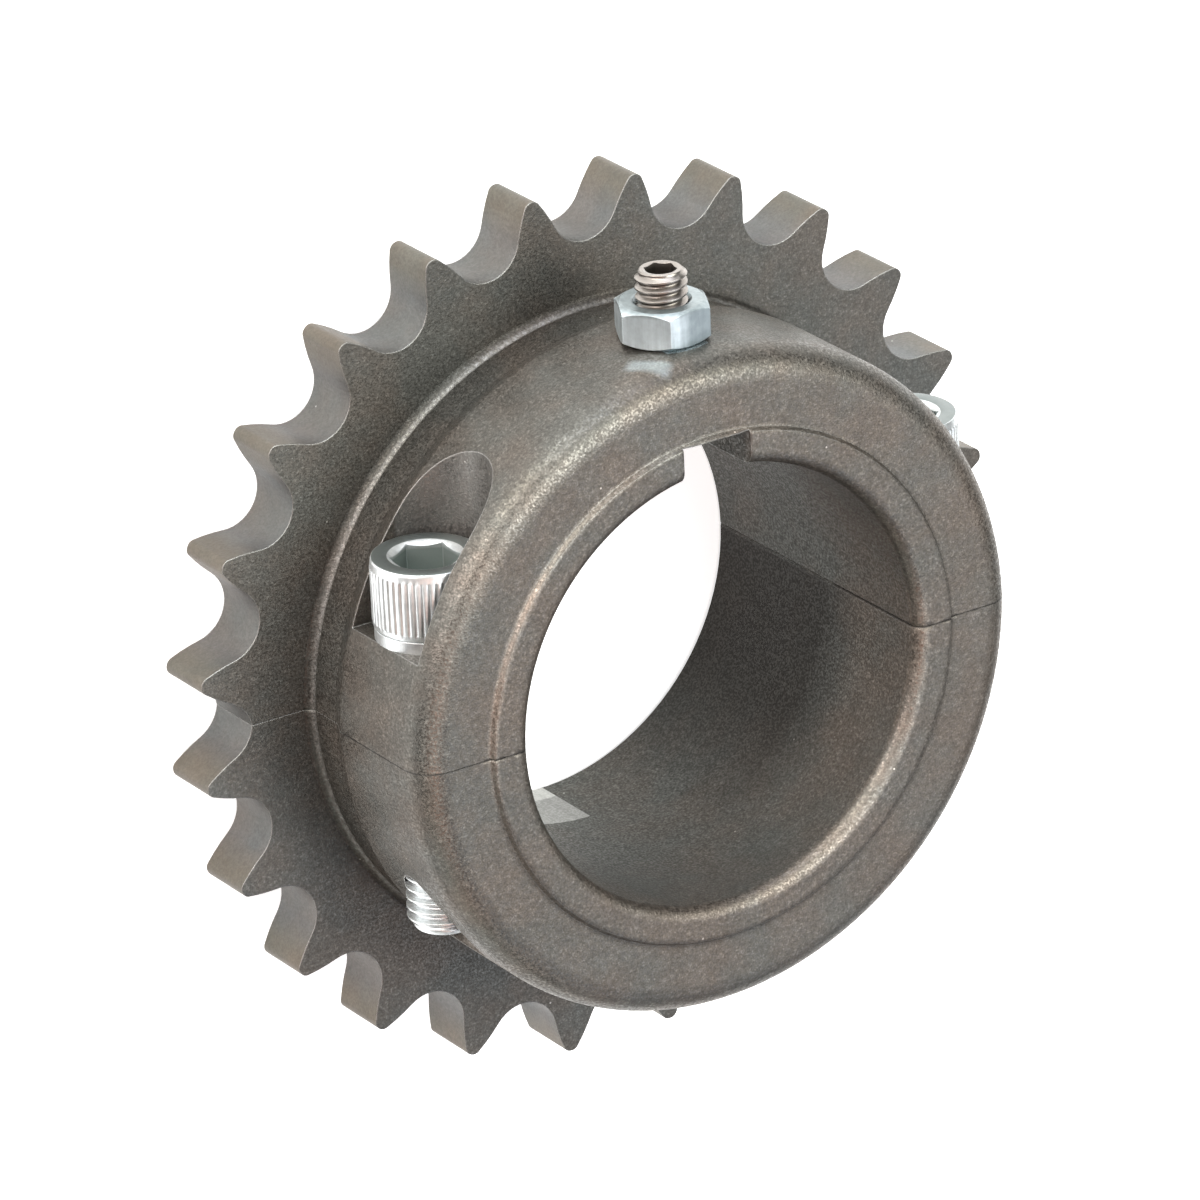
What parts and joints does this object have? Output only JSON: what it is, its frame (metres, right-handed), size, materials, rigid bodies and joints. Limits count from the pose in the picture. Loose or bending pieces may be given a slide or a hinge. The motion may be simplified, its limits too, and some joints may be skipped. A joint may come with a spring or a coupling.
{
  "type": "split chain sprocket",
  "caption": "Chain sprocket in two halves that clamp round a shaft, with toothed rim, thick hub, keyway, socket head clamp screws, set screw and jam nut.",
  "frame": {"origin": "on the shaft axis at the back of the hub, which is the middle of the underside of the part as it lies", "axes": "+Z along the shaft axis, out of the front of the hub; +Y to the keyway and the set screw; the halves meet on the plane y = 0"},
  "size_m": [0.1512, 0.1494, 0.0571],
  "materials": {
    "sintered_steel": "dark sintered steel, fine-grained and satin",
    "zinc_plate": "bright zinc plate",
    "set_screw_steel": "warm-toned bright steel"
  },
  "bodies": {
    "root": {"upper_half": "sintered_steel", "lower_half": "sintered_steel", "clamp_screw_left": "zinc_plate", "clamp_screw_right": "zinc_plate", "lock_washer_left": "zinc_plate", "lock_washer_right": "zinc_plate", "set_screw": "set_screw_steel", "jam_nut": "zinc_plate"}
  },
  "joints": []
}
